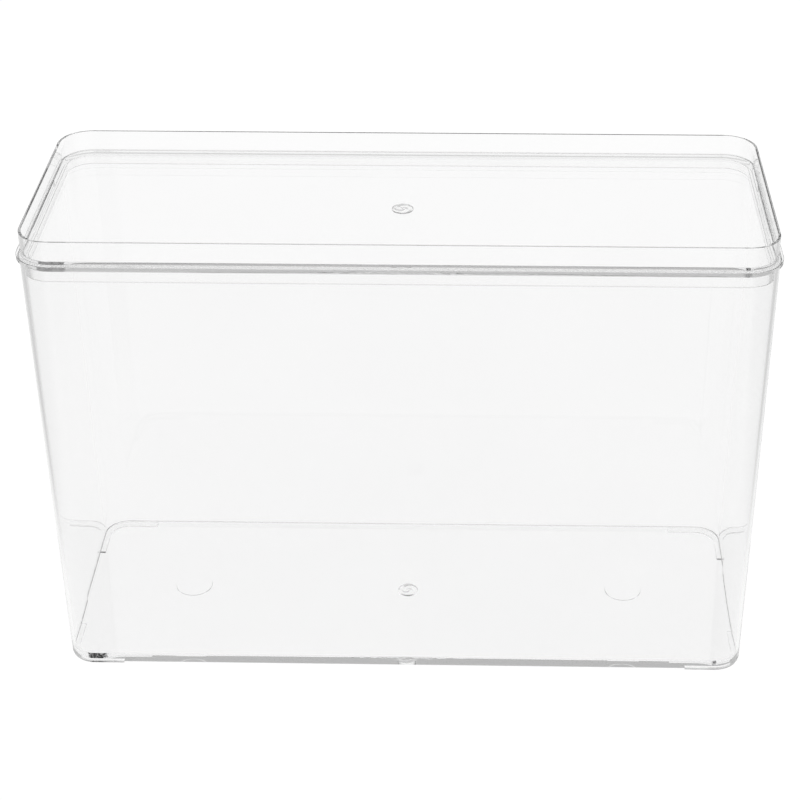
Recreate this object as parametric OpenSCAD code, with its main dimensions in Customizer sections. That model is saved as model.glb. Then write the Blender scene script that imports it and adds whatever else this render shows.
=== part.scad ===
// Clear storage box with a lift-off lid. The box and the lid are each moulded in one piece.
// Millimetres, +Z up. The origin is on the surface that the feet stand on, under the middle of the box.
// X runs along the length, Y along the depth, and the front of the box faces -Y.

/* [Box] */
// Length of the box over its walls, just under the flange
box_length = 301.4; // [240:0.1:360]
// Depth of the box over its walls, just under the flange
box_depth = 109.1; // [80:0.1:160]
// Height from the feet to the top of the flange
box_height = 199; // [120:0.1:260]
// Thickness of the side walls
wall = 1.5; // [1.2:0.1:2.4]
// Thickness of the floor
floor_thick = 3.7; // [2.5:0.1:5]
// Outer radius of the upright corners
corner_r = 14; // [12:0.5:20]
// How far each wall leans inwards from the flange down to the floor
wall_lean = 2.1; // [1:0.1:3]
// Radius of the fillet between the floor and the walls
floor_fillet = 0.4; // [0.3:0.1:2]

/* [Flange] */
// How far the flange stands out from the wall
flange_out = 1.2; // [1.05:0.05:3]
// Thickness of the flange
flange_thick = 1.8; // [1.2:0.1:2.5]
// Radius of the cove under the flange
cove_r = 0.8; // [0.4:0.1:0.9]

/* [Feet] */
// Height of the corner feet
foot_height = 0.8; // [0.5:0.1:2]
// Width of the flat strip that makes a foot
foot_width = 3.2; // [2:0.1:4]
// How far the feet stand back from the outside of the walls at the floor
foot_inset = 0.2; // [0.1:0.05:0.5]
// Length of each arm of a foot, measured from the outside of the walls under the flange
foot_arm = 27; // [20:0.5:35]

/* [Lid] */
// How far the lid's rim stands back from the outside of the box walls
lid_inset = 0.7; // [0:0.05:1]
// Height of the lid's rim above the flange
rim_height = 9.8; // [6:0.1:14]
// Thickness of the lid's rim
rim_wall = 1.1; // [0.9:0.1:1.8]
// Thickness of the lid's panel
panel_thick = 4.8; // [3:0.1:6]
// Height of the panel's upper face above the flange
panel_rise = 1; // [0.5:0.05:1.3]
// Depth of the lid's skirt below the top of the flange
skirt_depth = 8.1; // [5:0.1:12]
// Thickness of the skirt
skirt_wall = 1.6; // [1.2:0.1:2.4]
// Gap between the skirt and the inside of the box
skirt_gap = 0.5; // [0.45:0.05:0.8]
// Length of the pad on the outside of the skirt at each short end
pad_length = 44; // [20:1:45]
// How far each pad stands out from the skirt
pad_out = 0.3; // [0.2:0.05:0.35]

/* [Moulding marks] */
// Diameter of the gate dimples under the floor and under the panel
gate_d = 9; // [6:0.5:12]
// Depth of the gate dimples
gate_depth = 1; // [0.3:0.1:1.5]
// Diameter of the two ejector marks on the floor
ejector_d = 16.5; // [12:0.5:24]
// How far the ejector marks stand up from the floor
ejector_rise = 0.15; // [0.05:0.05:0.3]
// Distance between the centres of the ejector marks
ejector_spacing = 198; // [120:1:200]

/* [Edges] */
// Rounding of the free edges
edge_r = 0.2; // [0.1:0.05:0.4]
// Rounding of the inner corners of the lid
lid_fillet = 0.3; // [0.2:0.1:0.8]

/* [Hidden] */
$fn = 96;
// How far one shape runs past the face of another that it joins or cuts
merge = 0.3;
// Flats in a rounded edge
round_steps = 3;

flange_under = box_height - flange_thick;
cove_low = flange_under - cove_r;
floor_top = foot_height + floor_thick;
fillet_top = floor_top + floor_fillet;
rim_top = box_height + rim_height;
panel_top = box_height + panel_rise;
panel_under = panel_top - panel_thick;
skirt_bottom = box_height - skirt_depth;

// Places across the wall, measured outwards from its outer face under the flange
rim_out = -lid_inset;
rim_in = rim_out - rim_wall;
skirt_out = -wall - skirt_gap;
skirt_in = skirt_out - skirt_wall;
foot_out = -wall_lean - foot_inset;
foot_in = foot_out - foot_width;

// Straight lengths between the upright corners
straight_x = box_length - 2 * corner_r;
straight_y = box_depth - 2 * corner_r;

// Plan of the box, moved outwards by grow
module outline(grow) {
    square([box_length + 2 * grow, straight_y], center = true);
    square([straight_x, box_depth + 2 * grow], center = true);
    for (sx = [-1, 1], sy = [-1, 1])
        translate([sx * straight_x / 2, sy * straight_y / 2])
            circle(corner_r + grow);
}

// Plate that fills the plan between two heights
module plate(grow, low, high) {
    translate([0, 0, low])
        linear_extrude(high - low)
            outline(grow);
}

// One straight run of a section, at a distance from the middle of the box
module run(distance, length) {
    translate([distance, length / 2, 0])
        rotate([90, 0, 0])
            linear_extrude(length)
                children();
}

// A section carried all round the box. Its x is measured outwards from the wall, its y is the height.
module around() {
    for (turn = [0, 180])
        rotate(turn)
            run(box_length / 2, straight_y)
                children();
    for (turn = [90, 270])
        rotate(turn)
            run(box_depth / 2, straight_x)
                children();
    for (corner = [[1, 1, 0], [-1, 1, 90], [-1, -1, 180], [1, -1, 270]])
        translate([corner[0] * straight_x / 2, corner[1] * straight_y / 2, 0])
            rotate(corner[2])
                rotate_extrude(angle = 90)
                    translate([corner_r, 0])
                        children();
}

// Points of a quarter round from one direction to another, about a centre at x, z
function round_at(x, z, r, from, to) = [
    for (i = [0 : round_steps])
        let (a = from + (to - from) * i / round_steps)
            [x + r * cos(a), z + r * sin(a)]
];

// Section of the box's wall, with the flange round its mouth and the edge of the floor
module wall_section() {
    outside = -wall_lean;
    inside = -wall_lean - wall;
    polygon(concat(
        [[inside - floor_fillet, foot_height]],
        round_at(outside - edge_r, foot_height + edge_r, edge_r, -90, 0),
        [[outside, fillet_top]],
        round_at(cove_r, cove_low, cove_r, 180, 90),
        round_at(flange_out - edge_r, flange_under + edge_r, edge_r, -90, 0),
        round_at(flange_out - edge_r, box_height - edge_r, edge_r, 0, 90),
        round_at(-wall + edge_r, box_height - edge_r, edge_r, 90, 180),
        round_at(inside - floor_fillet, fillet_top, floor_fillet, 0, -90)
    ));
}

// Section of the lid's edge: the rim that stands up, the edge of the panel and the skirt that plugs the box
module lid_section() {
    polygon(concat(
        [[skirt_in - lid_fillet, panel_top]],
        round_at(skirt_in - lid_fillet, panel_under - lid_fillet, lid_fillet, 90, 0),
        round_at(skirt_in + edge_r, skirt_bottom + edge_r, edge_r, 180, 270),
        round_at(skirt_out - edge_r, skirt_bottom + edge_r, edge_r, 270, 360),
        [[skirt_out, box_height]],
        round_at(rim_out - edge_r, box_height + edge_r, edge_r, -90, 0),
        round_at(rim_out - edge_r, rim_top - edge_r, edge_r, 0, 90),
        round_at(rim_in + edge_r, rim_top - edge_r, edge_r, 90, 180),
        round_at(rim_in - lid_fillet, panel_top + lid_fillet, lid_fillet, 0, -90)
    ));
}

// Four flat strips that follow the corners of the plan
module feet() {
    reach_x = box_length / 2 - foot_arm;
    reach_y = box_depth / 2 - foot_arm;
    linear_extrude(foot_height + merge)
        intersection() {
            difference() {
                outline(foot_out);
                outline(foot_in);
            }
            for (sx = [-1, 1], sy = [-1, 1])
                translate([sx * (reach_x + foot_arm / 2), sy * (reach_y + foot_arm / 2)])
                    square(foot_arm, center = true);
        }
}

// Round hollow left by the moulding gate in a face that looks down
module gate_dimple(face) {
    translate([0, 0, face - merge])
        cylinder(d = gate_d, h = gate_depth + merge);
}

// Round marks that stand up slightly from the floor
module ejector_marks() {
    for (side = [-1, 1])
        translate([side * ejector_spacing / 2, 0, floor_top - merge])
            cylinder(d = ejector_d, h = merge + ejector_rise);
}

module box_body() {
    color([0.93, 0.95, 0.96, 0.35])
        difference() {
            union() {
                around()
                    wall_section();
                plate(-wall_lean - wall - floor_fillet, foot_height, floor_top);
                feet();
                ejector_marks();
            }
            gate_dimple(foot_height);
        }
}

// Pads on the outside of the skirt at the short ends, which take up most of the gap to the walls
module skirt_pads() {
    pad_low = skirt_bottom + edge_r;
    pad_high = box_height + merge;
    for (side = [-1, 1])
        translate([side * (box_length / 2 + skirt_out), 0, (pad_low + pad_high) / 2])
            cube([2 * pad_out, pad_length, pad_high - pad_low], center = true);
}

module lid() {
    color([0.93, 0.95, 0.96, 0.35])
        difference() {
            union() {
                around()
                    lid_section();
                plate(skirt_in - lid_fillet, panel_under, panel_top);
                skirt_pads();
            }
            gate_dimple(panel_under);
        }
}

box_body();
lid();
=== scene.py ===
import bmesh
import bpy
from math import cos, pi, radians, sin
from mathutils import Matrix, Vector


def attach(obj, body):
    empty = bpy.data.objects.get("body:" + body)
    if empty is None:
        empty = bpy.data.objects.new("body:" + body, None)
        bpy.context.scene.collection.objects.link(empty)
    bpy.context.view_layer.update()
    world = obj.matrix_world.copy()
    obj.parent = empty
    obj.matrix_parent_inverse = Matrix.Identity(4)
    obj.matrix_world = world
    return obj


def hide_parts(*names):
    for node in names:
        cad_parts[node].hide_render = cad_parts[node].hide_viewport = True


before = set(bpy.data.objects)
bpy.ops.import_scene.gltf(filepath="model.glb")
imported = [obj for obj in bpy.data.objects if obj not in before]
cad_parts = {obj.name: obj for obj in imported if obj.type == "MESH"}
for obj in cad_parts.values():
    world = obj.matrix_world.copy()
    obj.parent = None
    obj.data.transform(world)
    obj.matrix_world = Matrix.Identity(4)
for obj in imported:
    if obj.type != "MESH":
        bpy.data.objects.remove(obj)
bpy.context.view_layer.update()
MM = 0.001

# The box
LENGTH = 301.4 * MM
DEPTH = 109.1 * MM
HEIGHT = 199 * MM
WALL = 1.5 * MM
FLOOR_THICK = 3.7 * MM
CORNER = 14 * MM
LEAN = 2.1 * MM
FLOOR_FILLET = 0.4 * MM
FLANGE_OUT = 1.2 * MM
FLANGE_THICK = 1.8 * MM
FLANGE_ROUND = 0.2 * MM
COVE = 0.8 * MM
EDGE = 0.2 * MM

# The feet
FOOT_HEIGHT = 0.8 * MM
FOOT_WIDTH = 3.2 * MM
FOOT_INSET = 0.2 * MM
FOOT_ARM = 27 * MM

# The lid
LID_INSET = 0.7 * MM
RIM_HEIGHT = 9.8 * MM
RIM_WALL = 1.1 * MM
PANEL_THICK = 4.8 * MM
PANEL_RISE = 1 * MM
SKIRT_DEPTH = 8.1 * MM
SKIRT_WALL = 1.6 * MM
SKIRT_GAP = 0.5 * MM
PAD_LENGTH = 44 * MM
PAD_OUT = 0.3 * MM
LID_FILLET = 0.3 * MM

# The moulding marks
GATE = 9 * MM
GATE_DEPTH = 1 * MM
EJECTOR = 16.5 * MM
EJECTOR_RISE = 0.15 * MM
EJECTOR_SPACING = 198 * MM

# How finely the rounds, the upright corners and the round marks are divided
ROUND_STEPS = 4
CORNER_STEPS = 40
DISC_STEPS = 64
SHARP_DEGREES = 40

# Points this close to a level or to each other count as on it, or as one
TINY = 0.001 * MM
PAD_MARGIN = 0.01 * MM
MERGED = 0.002 * MM

# The plastic: the share of light that it lets through, between its slow waves, and what it takes up
CLEAR_IOR = 1.49
BOX_CLEAR = (0.975, 0.965)
LID_CLEAR = (1, 0.99)
BOX_ABSORBED_PER_METRE = 0.6
LID_ABSORBED_PER_METRE = 1.5

# The plastic's surface: the gate's swirl, the flow lines round it, the mould's waves and the scuffs
GATE_DULL = 0.18
GATE_FADE = 0.5 * MM
GATE_MARGIN = 0.2 * MM
SWIRL_ARMS = 2
SWIRL_TWIST = 1.9 / MM
SWIRL_HEIGHT = 0.1 * MM
FLOW_ARMS = 9
FLOW_LUMP = 0.6
FLOW_REACH = 40 * MM
FLOW_HEIGHT = 0.006 * MM
WAVE_SIZE = 45 * MM
WAVE_HEIGHT = 0.02 * MM
SCUFF_DULL = 0.3
SCUFF_HEIGHTS = (0.3 * MM, 0.1 * MM)
SCRATCH_SIZE = 0.5 * MM
SCRATCH_LEVELS = (0.5, 0.62)
SCRATCH_TURN = (0, 0, 0.6)
SCRATCH_STRETCH = (0.12, 1, 1)

# The room: its light, where 1 is white, at directions from level with the table, 0, to straight up, 1
ROOM_LEVELS = ((0, 0.9), (0.45, 0.62), (0.8, 0.42), (1, 0.42))

# The table: its levels in the painted pool of light, in the painted shade away from there and where the
# camera sees it, and its own colour
TABLE_LIT = 0.93
TABLE_PAINTED_SHADE = 0.6
TABLE_SEEN = 0.97
TABLE_MATT = 0.12
TABLE_HALF = 4
TABLE_DROP = 0.05 * MM

# The painted pool of light on the table: its half width, how it widens with the distance, its front and
# its soft edge
LIT_SIDE = 175 * MM
LIT_SPREAD = 0.35
LIT_FRONT = 60 * MM
LIT_FADE = 120 * MM

# A ray mirrored fewer times than the first sees the plain background, and each ray ends after the second
FEW_MIRRORINGS = 1.5
LIGHT_BOUNCES = 128

# The camera in metres and degrees, and the photograph's frame, centre and focal length in its pixels
CAMERA_PLACE = (0.03466, -0.73968, 0.55915 + FOOT_HEIGHT)
CAMERA_PITCH = 30.56
CAMERA_YAW = -1.284
CAMERA_ROLL = 0.108
FRAME_PIXELS = 800
CENTRE_PIXELS = (446.8, 366.04)
FOCUS_PIXELS = 1987.38

FLOOR_UNDER = FOOT_HEIGHT
FLOOR_TOP = FLOOR_UNDER + FLOOR_THICK
FLANGE_UNDER = HEIGHT - FLANGE_THICK
RIM_TOP = HEIGHT + RIM_HEIGHT
PANEL_TOP = HEIGHT + PANEL_RISE
PANEL_UNDER = PANEL_TOP - PANEL_THICK
SKIRT_BOTTOM = HEIGHT - SKIRT_DEPTH
SKIRT_OUT = -WALL - SKIRT_GAP
SKIRT_IN = SKIRT_OUT - SKIRT_WALL
STRAIGHT = Vector((LENGTH - 2 * CORNER, DEPTH - 2 * CORNER, 0))


def rounded(x, z, r, start, end):
    """Points of a quarter round about x, z, from one direction to another in degrees."""
    turns = [radians(start + (end - start) * i / ROUND_STEPS) for i in range(ROUND_STEPS + 1)]
    return [(x + r * cos(a), z + r * sin(a)) for a in turns]


def wall_section():
    """Section of the box's wall, from the underside of the floor, round the flange and back down."""
    out = -LEAN
    inside = out - WALL
    foot = out - FOOT_INSET - FOOT_WIDTH
    return (
        [(foot - EDGE, FLOOR_UNDER), (foot, FLOOR_UNDER), (out - EDGE, FLOOR_UNDER)]
        + rounded(out - EDGE, FLOOR_UNDER + EDGE, EDGE, -90, 0)[1:]
        + rounded(COVE, FLANGE_UNDER - COVE, COVE, 180, 90)
        + rounded(FLANGE_OUT - FLANGE_ROUND, FLANGE_UNDER + FLANGE_ROUND, FLANGE_ROUND, -90, 0)
        + rounded(FLANGE_OUT - FLANGE_ROUND, HEIGHT - FLANGE_ROUND, FLANGE_ROUND, 0, 90)
        + rounded(-WALL + EDGE, HEIGHT - EDGE, EDGE, 90, 180)
        + rounded(inside - FLOOR_FILLET, FLOOR_TOP + FLOOR_FILLET, FLOOR_FILLET, 0, -90)
    )


def lid_section():
    """Section of the lid's edge, from the underside of the panel, round the skirt and the rim."""
    rim_out = -LID_INSET
    rim_in = rim_out - RIM_WALL
    return (
        rounded(SKIRT_IN - LID_FILLET, PANEL_UNDER - LID_FILLET, LID_FILLET, 90, 0)
        + rounded(SKIRT_IN + EDGE, SKIRT_BOTTOM + EDGE, EDGE, 180, 270)
        + rounded(SKIRT_OUT - EDGE, SKIRT_BOTTOM + EDGE, EDGE, 270, 360)
        + [(SKIRT_OUT, HEIGHT)]
        + rounded(rim_out - EDGE, HEIGHT + EDGE, EDGE, -90, 0)
        + rounded(rim_out - EDGE, RIM_TOP - EDGE, EDGE, 0, 90)
        + rounded(rim_in + EDGE, RIM_TOP - EDGE, EDGE, 90, 180)
        + rounded(rim_in - LID_FILLET, PANEL_TOP + LID_FILLET, LID_FILLET, 0, -90)
    )


def carry_round(mesh, section, cuts):
    """Carries a section round the box. The cuts divide the short sides and the long sides lengthways."""
    x, y = LENGTH / 2, -STRAIGHT.y / 2
    points = [mesh.verts.new((x + across, y, height)) for across, height in section]
    lines = [mesh.edges.new(pair) for pair in zip(points, points[1:])]
    moving = points + lines
    for side, corner in enumerate(((0.5, 0.5), (-0.5, 0.5), (-0.5, -0.5), (0.5, -0.5))):
        turn = Matrix.Rotation(side * pi / 2, 3, "Z")
        length = STRAIGHT.x if side % 2 else STRAIGHT.y
        stops = cuts[side % 2] + [length]
        for step, stop in zip([0] + stops, stops):
            move = turn @ Vector((0, stop - step, 0))
            moving = bmesh.ops.spin(mesh, geom=moving, cent=(0, 0, 0), axis=(0, 0, 1), dvec=move,
                                    angle=0, steps=1)["geom_last"]
        centre = (STRAIGHT.x * corner[0], STRAIGHT.y * corner[1], 0)
        moving = bmesh.ops.spin(mesh, geom=moving, cent=centre, axis=(0, 0, 1), dvec=(0, 0, 0),
                                angle=pi / 2, steps=CORNER_STEPS)["geom_last"]
    bmesh.ops.remove_doubles(mesh, verts=mesh.verts, dist=MERGED)


def dish(mesh, x, y, profile):
    """A round mark turned from a profile of radius and height that ends on its middle."""
    points = [mesh.verts.new((x + r, y, z)) for r, z in profile]
    lines = [mesh.edges.new(pair) for pair in zip(points, points[1:])]
    bmesh.ops.spin(mesh, geom=points + lines, cent=(x, y, 0), axis=(0, 0, 1), dvec=(0, 0, 0),
                   angle=2 * pi, steps=DISC_STEPS, use_merge=True)
    bmesh.ops.remove_doubles(mesh, verts=mesh.verts, dist=MERGED)


def at_level(part, height):
    """Whether all corners of an edge or face are at one height."""
    return all(abs(corner.co.z - height) < TINY for corner in part.verts)


def close_level(mesh, height):
    """Fills the flat area between the open edges at one height."""
    edges = [edge for edge in mesh.edges if edge.is_boundary and at_level(edge, height)]
    bmesh.ops.triangle_fill(mesh, use_beauty=True, edges=edges, normal=(0, 0, 1))


def push_faces(mesh, faces, move):
    """Extrudes faces by a move and takes away the faces that they leave inside."""
    pushed = bmesh.ops.extrude_face_region(mesh, geom=faces)["geom"]
    points = [part for part in pushed if isinstance(part, bmesh.types.BMVert)]
    bmesh.ops.translate(mesh, verts=points, vec=move)
    bmesh.ops.delete(mesh, geom=faces, context="FACES")


def finish_piece(mesh, name, node, body, material):
    """Makes the object: soft shading over the rounds, sharp edges elsewhere, flat faces kept flat."""
    bmesh.ops.recalc_face_normals(mesh, faces=mesh.faces)
    for face in mesh.faces:
        face.smooth = True
    for edge in mesh.edges:
        edge.smooth = edge.calc_face_angle(0) < radians(SHARP_DEGREES)
    data = bpy.data.meshes.new(name)
    mesh.to_mesh(data)
    mesh.free()
    piece = bpy.data.objects.new(name, data)
    bpy.context.scene.collection.objects.link(piece)
    data.materials.append(material)
    flats = piece.modifiers.new("flat_faces", "WEIGHTED_NORMAL")
    flats.mode = "FACE_AREA"
    flats.weight = 100
    flats.keep_sharp = True
    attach(piece, body)
    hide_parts(node)


def make_box(material):
    """The box: walls, floor, flange, feet and moulding marks in one piece."""
    mesh = bmesh.new()
    reach = [LENGTH / 2 - FOOT_ARM, DEPTH / 2 - FOOT_ARM]
    cuts = [[STRAIGHT[i] / 2 - reach[i], STRAIGHT[i] / 2 + reach[i]] for i in (1, 0)]
    carry_round(mesh, wall_section(), cuts)
    # The feet grow from the faces near the corners, without the narrow strip next to the floor
    feet = [face for face in mesh.faces
            if at_level(face, FLOOR_UNDER)
            and all(abs(face.calc_center_median()[i]) > reach[i] for i in (0, 1))
            and min(edge.calc_length() for edge in face.edges) > 1.2 * EDGE]
    push_faces(mesh, feet, (0, 0, -FOOT_HEIGHT))
    high = FLOOR_TOP + EJECTOR_RISE
    profile = [(EJECTOR / 2, FLOOR_TOP), (EJECTOR / 2 - EDGE / 2, high), (0, high)]
    for side in (-1, 1):
        dish(mesh, side * EJECTOR_SPACING / 2, 0, profile)
    dish(mesh, 0, 0, gate_profile(FLOOR_UNDER))
    close_level(mesh, FLOOR_TOP)
    close_level(mesh, FLOOR_UNDER)
    finish_piece(mesh, "clear_box_shell", "box_body", "box", material)


def gate_profile(face):
    """Profile of the hollow that the moulding gate leaves in a face that looks down."""
    return [(GATE / 2, face), (GATE / 2 - EDGE / 2, face + GATE_DEPTH), (0, face + GATE_DEPTH)]


def make_lid(material):
    """The lid: rim, panel, skirt and the skirt's two pads in one piece."""
    mesh = bmesh.new()
    half = STRAIGHT.y / 2
    carry_round(mesh, lid_section(), [[half - PAD_LENGTH / 2, half + PAD_LENGTH / 2], []])
    outer = LENGTH / 2 + SKIRT_OUT
    for side in (-1, 1):
        pad = [face for face in mesh.faces
               if all(abs(corner.co.x * side - outer) < PAD_MARGIN
                      and abs(corner.co.y) < PAD_LENGTH / 2 + PAD_MARGIN for corner in face.verts)]
        push_faces(mesh, pad, (side * PAD_OUT, 0, 0))
    dish(mesh, 0, 0, gate_profile(PANEL_UNDER))
    close_level(mesh, PANEL_TOP)
    close_level(mesh, PANEL_UNDER)
    finish_piece(mesh, "clear_lid_shell", "lid", "lid", material)


class Signal:
    """One output of a node. Sums and products on it add Math nodes to its graph."""

    def __init__(self, graph, socket):
        self.graph = graph
        self.socket = socket

    def out(self, name):
        """Another output of the same node."""
        return Signal(self.graph, self.socket.node.outputs[name])

    def __add__(self, other):
        return self.graph.maths("ADD", self, other)

    def __radd__(self, other):
        return self.graph.maths("ADD", other, self)

    def __sub__(self, other):
        return self.graph.maths("SUBTRACT", self, other)

    def __rsub__(self, other):
        return self.graph.maths("SUBTRACT", other, self)

    def __mul__(self, other):
        return self.graph.maths("MULTIPLY", self, other)

    def __rmul__(self, other):
        return self.graph.maths("MULTIPLY", other, self)

    def __truediv__(self, other):
        return self.graph.maths("DIVIDE", self, other)


class Graph:
    """The nodes of a material or of the world."""

    def __init__(self, owner):
        owner.use_nodes = True
        self.nodes = owner.node_tree.nodes
        self.links = owner.node_tree.links

    def join(self, value, socket):
        """Gives a socket a value, or a link where the value is a signal."""
        if isinstance(value, Signal):
            self.links.new(value.socket, socket)
        else:
            socket.default_value = value

    def node(self, kind, settings, sockets, output=0):
        """Adds a node: its settings first, then the values or links of its sockets."""
        node = self.nodes.new("ShaderNode" + kind)
        for name, value in settings.items():
            if name == "stops":
                steps = node.color_ramp.elements
                steps[0].position, steps[0].color = value[0]
                steps[1].position, steps[1].color = value[-1]
                for position, colour in value[1:-1]:
                    steps.new(position).color = colour
            else:
                setattr(node, name, value)
        for name, value in sockets.items():
            self.join(value, node.inputs[name])
        return Signal(self, node.outputs[output])

    def maths(self, operation, *values):
        """Adds a Math node of one operation."""
        return self.node("Math", {"operation": operation}, dict(enumerate(values)))

    def fade(self, value, start, end):
        """A soft step from 0 at the start to 1 at the end, where either may be the lower one."""
        limits = {"From Min": start, "From Max": end, "To Min": 0.0, "To Max": 1.0}
        if end < start:
            limits = {"From Min": end, "From Max": start, "To Min": 1.0, "To Max": 0.0}
        return self.node("MapRange", {"interpolation_type": "SMOOTHSTEP"}, {"Value": value, **limits})

    def noise(self, place, size, detail):
        """Soft random values between 0 and 1 with lumps of about one size."""
        return self.node("TexNoise", {}, {"Vector": place, "Scale": 1 / size, "Detail": detail})


def clear_plastic(name, gate_face, clear, absorbed):
    """Polished clear plastic with slow waves, flow lines round the gate, its swirl and scuffed feet."""
    material = bpy.data.materials.new(name)
    graph = Graph(material)
    shader = graph.nodes["Principled BSDF"]
    shader.inputs["IOR"].default_value = CLEAR_IOR
    shader.inputs["Transmission Weight"].default_value = 1
    place = graph.node("TexCoord", {}, {}, "Object")
    split = graph.node("SeparateXYZ", {}, {0: place})
    x, y, z = split, split.out("Y"), split.out("Z")
    radius = graph.maths("SQRT", x * x + y * y)
    turn = graph.maths("ARCTAN2", y, x)

    # The gate mark: a swirl left in the plastic, a little duller than the polish round it
    top = gate_face + GATE_DEPTH
    low = graph.fade(z, top + 2 * GATE_MARGIN, top + GATE_MARGIN)
    gate = graph.fade(radius, GATE / 2, GATE / 2 - GATE_FADE) * low
    swirl = graph.maths("SINE", turn * SWIRL_ARMS + radius * SWIRL_TWIST)

    # Flow lines that fan out from the gate and fade with distance, and slow waves of the polished mould
    reach = graph.fade(radius, FLOW_REACH, GATE / 2) * (1 - gate)
    spread = graph.node("CombineXYZ", {}, {0: turn * FLOW_ARMS, 1: radius / FLOW_REACH, 2: 0.5})
    flow = graph.noise(spread, FLOW_LUMP, 1.0) * reach
    waves = graph.noise(place, WAVE_SIZE, 0.0)

    # Scuffs on the faces that the box stands on
    stretch = graph.node("Mapping", {}, {"Vector": place, "Rotation": SCRATCH_TURN,
                                         "Scale": SCRATCH_STRETCH})
    scratch = graph.fade(graph.noise(stretch, SCRATCH_SIZE, 1.0), *SCRATCH_LEVELS)
    stood_on = graph.fade(z, *SCUFF_HEIGHTS)

    graph.join(gate * GATE_DULL + stood_on * scratch * SCUFF_DULL, shader.inputs["Roughness"])
    bright, deep = map(grey, clear)
    shade = graph.node("Mix", {"data_type": "RGBA"}, {"Factor": waves, 6: bright, 7: deep}, 2)
    graph.join(shade, shader.inputs["Base Color"])
    height = gate * swirl * SWIRL_HEIGHT + flow * FLOW_HEIGHT + waves * WAVE_HEIGHT
    bump = graph.node("Bump", {}, {"Height": height / MM, "Distance": MM, "Strength": 1.0})
    graph.join(bump, shader.inputs["Normal"])
    inside = graph.node("VolumeAbsorption", {}, {"Color": grey(0), "Density": absorbed})
    graph.join(inside, graph.nodes["Material Output"].inputs["Volume"])
    return material


def make_camera():
    """The camera where the photograph was taken from."""
    pitch, yaw, roll = map(radians, (CAMERA_PITCH, CAMERA_YAW, CAMERA_ROLL))
    ahead = Vector((sin(yaw) * cos(pitch), cos(yaw) * cos(pitch), -sin(pitch)))
    level = Vector((cos(yaw), -sin(yaw), 0))
    down = ahead.cross(level)
    right = cos(roll) * level + sin(roll) * down
    low = cos(roll) * down - sin(roll) * level
    camera = bpy.data.cameras.new("photo_camera")
    camera.lens = camera.sensor_width * FOCUS_PIXELS / FRAME_PIXELS
    camera.shift_x = (FRAME_PIXELS / 2 - CENTRE_PIXELS[0]) / FRAME_PIXELS
    camera.shift_y = (CENTRE_PIXELS[1] - FRAME_PIXELS / 2) / FRAME_PIXELS
    place = bpy.data.objects.new("photo_camera", camera)
    bpy.context.scene.collection.objects.link(place)
    place.matrix_world = Matrix((right, -low, -ahead)).transposed().to_4x4()
    place.matrix_world.translation = CAMERA_PLACE
    bpy.context.scene.camera = place


def grey(level):
    """A grey of one level, from 0 for black to 1 for white."""
    return (level, level, level, 1)


def background_seen(graph):
    """1 for rays that see the plain background, straight, through the plastic or mirrored once in it."""
    path = graph.node("LightPath", {}, {}, "Is Camera Ray")
    clear = path + path.out("Is Glossy Ray") + path.out("Is Transmission Ray")
    few = graph.maths("LESS_THAN", path.out("Glossy Depth"), FEW_MIRRORINGS)
    return graph.maths("MINIMUM", clear, 1.0) * few


def make_world():
    """Soft studio light from all round, darker overhead, with a plain white background."""
    world = bpy.data.worlds.new("studio")
    bpy.context.scene.world = world
    graph = Graph(world)
    direction = graph.node("TexCoord", {}, {}, "Generated")
    rise = graph.node("SeparateXYZ", {}, {0: direction}, "Z")
    stops = [(height, grey(level)) for height, level in ROOM_LEVELS]
    room = graph.node("ValToRGB", {"stops": stops}, {0: rise})
    around = graph.node("Background", {}, {"Color": room})
    white = graph.node("Background", {}, {"Color": grey(1)})
    view = graph.node("MixShader", {}, {0: background_seen(graph), 1: around, 2: white})
    graph.links.new(view.socket, graph.nodes["World Output"].inputs[0])


def make_table():
    """A white table that takes the shadow. Its glow has a painted pool of light under and behind the box
    and painted shade beyond it: through the plastic it is greyer to the left and right, and for rays that
    are mirrored many times in the plastic it is also greyer in front of the box."""
    mesh = bmesh.new()
    bmesh.ops.create_grid(mesh, x_segments=1, y_segments=1, size=TABLE_HALF)
    bmesh.ops.translate(mesh, verts=mesh.verts, vec=(0, 0, -TABLE_DROP))
    data = bpy.data.meshes.new("table")
    mesh.to_mesh(data)
    mesh.free()
    table = bpy.data.objects.new("table", data)
    bpy.context.scene.collection.objects.link(table)
    material = bpy.data.materials.new("table_white")
    graph = Graph(material)
    graph.nodes.remove(graph.nodes["Principled BSDF"])
    place = graph.node("TexCoord", {}, {}, "Object")
    split = graph.node("SeparateXYZ", {}, {0: place})
    depth = split.out("Y")
    side = graph.maths("ABSOLUTE", split) - graph.maths("ABSOLUTE", depth) * LIT_SPREAD
    across = graph.fade(side, LIT_SIDE + LIT_FADE, LIT_SIDE)
    behind = graph.fade(depth, -LIT_FRONT - LIT_FADE, -LIT_FRONT)
    # Painted light and shade: the glow is brighter in a pool under and behind the box, and greyer to the
    # sides and, for rays mirrored many times, in front of it
    lit = across * graph.maths("MAXIMUM", behind, background_seen(graph))
    seen = graph.node("LightPath", {}, {}, "Is Camera Ray")
    level = TABLE_PAINTED_SHADE + lit * (TABLE_LIT - TABLE_PAINTED_SHADE)
    glow = graph.node("Emission", {}, {"Color": level + seen * (TABLE_SEEN - level), "Strength": 1.0})
    matt = graph.node("BsdfDiffuse", {}, {"Color": grey(TABLE_MATT)})
    both = graph.node("AddShader", {}, {0: glow, 1: matt})
    graph.links.new(both.socket, graph.nodes["Material Output"].inputs[0])
    data.materials.append(material)


scene = bpy.context.scene
scene.view_settings.view_transform = "Standard"
for kind in ("max_bounces", "transmission_bounces", "glossy_bounces"):
    setattr(scene.cycles, kind, LIGHT_BOUNCES)
make_camera()
make_world()
make_table()
make_box(clear_plastic("clear_box_plastic", FLOOR_UNDER, BOX_CLEAR, BOX_ABSORBED_PER_METRE))
make_lid(clear_plastic("clear_lid_plastic", PANEL_UNDER, LID_CLEAR, LID_ABSORBED_PER_METRE))
